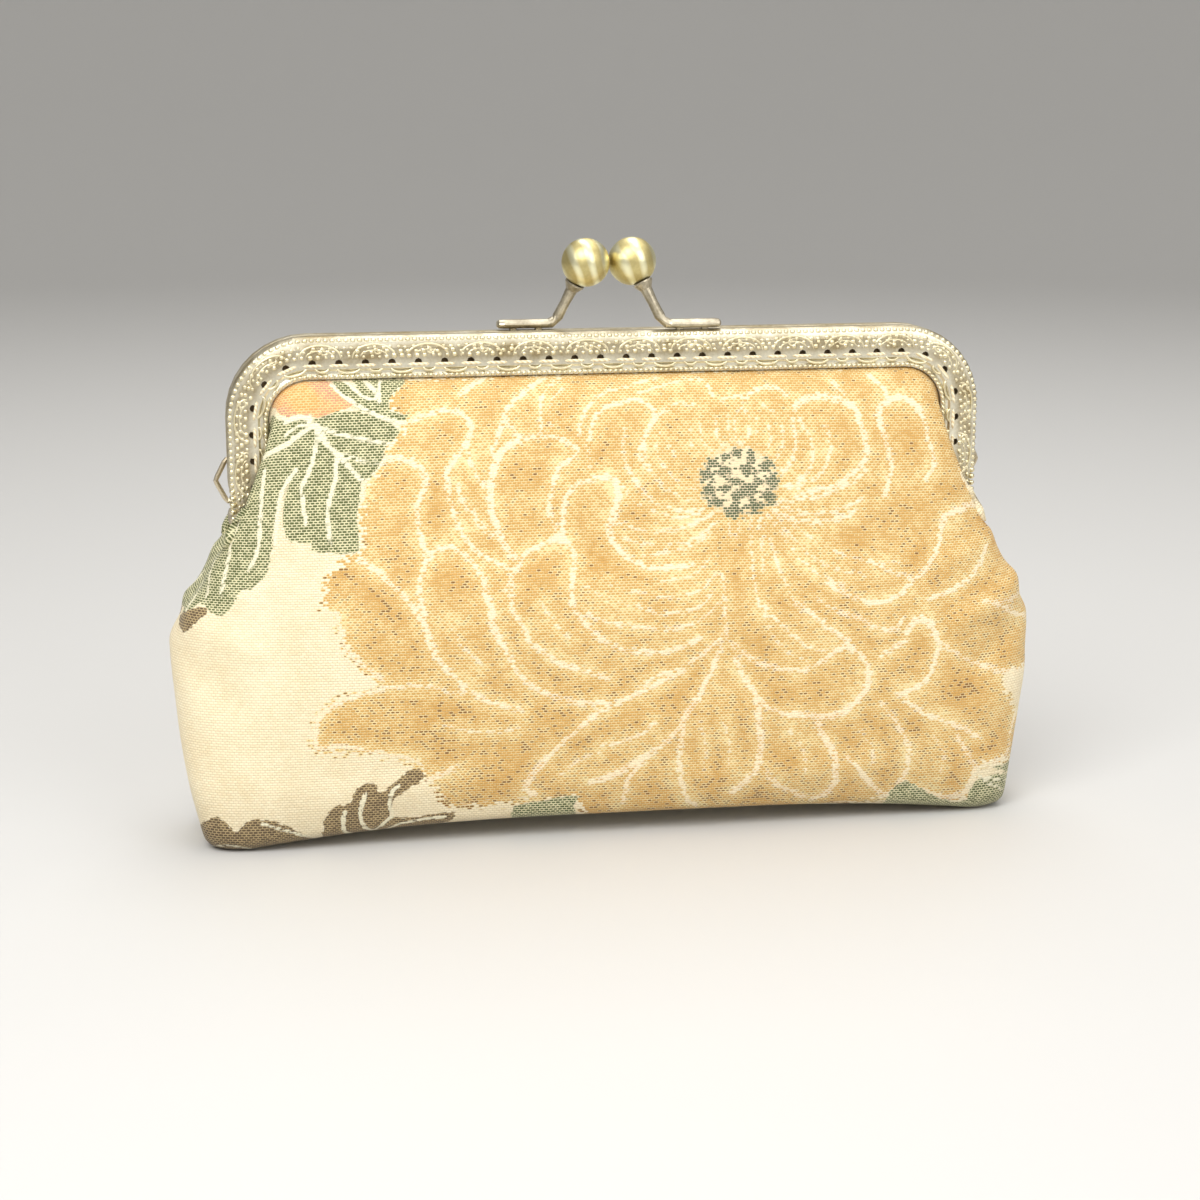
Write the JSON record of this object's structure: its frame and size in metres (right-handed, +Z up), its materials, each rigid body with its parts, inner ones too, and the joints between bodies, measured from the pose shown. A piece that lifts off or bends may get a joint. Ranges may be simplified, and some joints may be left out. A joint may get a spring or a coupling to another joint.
{
  "type": "kiss-lock frame pouch",
  "caption": "Boxed cloth pouch hanging from a closed brass kiss-lock frame with pierced edges, a ball clasp and side loops for a chain.",
  "frame": {"origin": "under the middle of the base, on the surface that the pouch stands on", "axes": "+Z up, front face towards -Y, +X to the viewer's right along the frame"},
  "size_m": [0.2098, 0.044, 0.1405],
  "materials": {
    "brocade_cloth": "woven brocade with gold, cream and green floats",
    "antique_brass": "stamped and aged, darker in the recesses",
    "bright_brass": "polished, lightly worn"
  },
  "bodies": {
    "root": {"pouch_body": "brocade_cloth", "front_frame": "antique_brass", "back_frame": "antique_brass", "left_hinge_rivet": "antique_brass", "right_hinge_rivet": "antique_brass", "front_clasp_arm": "antique_brass", "back_clasp_arm": "antique_brass", "left_loop": "antique_brass", "right_loop": "antique_brass", "front_clasp_ball": "bright_brass", "back_clasp_ball": "bright_brass"}
  },
  "joints": []
}
